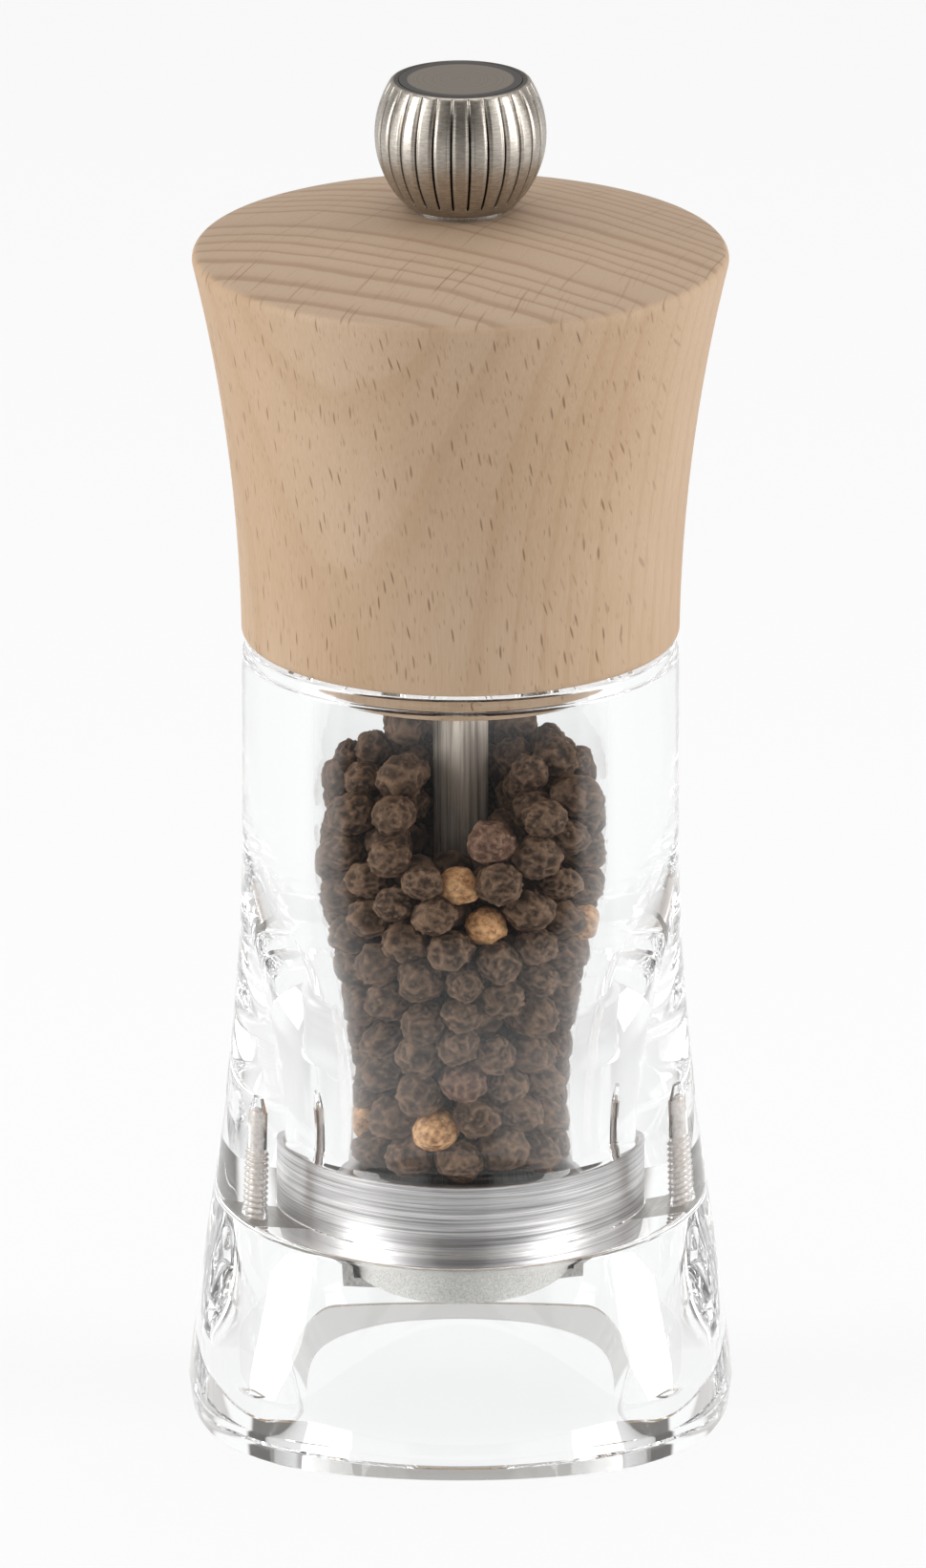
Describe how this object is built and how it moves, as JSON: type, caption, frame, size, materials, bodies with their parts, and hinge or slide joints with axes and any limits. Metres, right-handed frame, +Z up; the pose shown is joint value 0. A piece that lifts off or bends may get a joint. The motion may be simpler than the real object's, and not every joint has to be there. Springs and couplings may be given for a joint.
{
  "type": "pepper mill",
  "caption": "Clear flared body holding peppercorns, turned wooden head that grinds when it is twisted, fluted metal knob on top that sets the grind.",
  "frame": {"origin": "middle of the foot, on the surface that the mill stands on", "axes": "+Z up along the shaft; the four faces of the foot look along X and Y"},
  "size_m": [0.0556, 0.0556, 0.14],
  "materials": {
    "clear_acrylic": "polished clear acrylic",
    "brushed_aluminium": "brushed round",
    "grinder_steel": "satin, hardened",
    "bush_nylon": "moulded",
    "strap_steel": "stamped, satin",
    "screw_steel": "zinc plated",
    "shaft_aluminium": "satin, drawn",
    "spring_steel": "bright",
    "beech": "turned, matt waxed",
    "satin_nickel": "satin nickel",
    "black_inlay": "satin black",
    "satin_disc": "satin, warm grey",
    "dried_pepper": "dried, wrinkled"
  },
  "bodies": {
    "base": {"clear_body": "clear_acrylic", "carrier_ring": "brushed_aluminium", "stator": "grinder_steel", "bearing_spider": "grinder_steel", "shaft_bush": "bush_nylon", "grinder_strap": "strap_steel", "strap_screws": "screw_steel", "peppercorns": "dried_pepper"},
    "turn": {"thrust_washer": "strap_steel"},
    "drive": {"drive_shaft": "shaft_aluminium", "rotor": "grinder_steel", "rotor_spring": "spring_steel", "rotor_clip": "spring_steel"},
    "head": {"beech_head": "beech", "drive_plate": "strap_steel", "drive_plate_screws": "screw_steel", "knob_washer": "strap_steel"},
    "knob": {"knob": "satin_nickel", "knob_nut": "screw_steel", "knob_ring": "black_inlay", "knob_disc": "satin_disc"}
  },
  "joints": [
    {"name": "grind_turn", "type": "hinge", "parent": "base", "child": "turn", "pos_m": [0, 0, 0.0239], "axis": [0, 0, 1], "continuous": true},
    {"name": "rotor_lift", "type": "slide", "parent": "turn", "child": "drive", "axis": [0, 0, 1], "range_m": [-0.0008, 0.0008], "deforming": ["rotor_spring"]},
    {"name": "head_lift", "type": "slide", "parent": "turn", "child": "head", "axis": [0, 0, 1], "range_m": [0, 0.062]},
    {"name": "knob_turn", "type": "hinge", "parent": "head", "child": "knob", "pos_m": [0, 0, 0.1271], "axis": [0, 0, 1], "range_deg": [-360, 360]}
  ],
  "couplings": [
    {"joint": "rotor_lift", "follows": "knob_turn", "m_per_rad": -0.0001273}
  ]
}
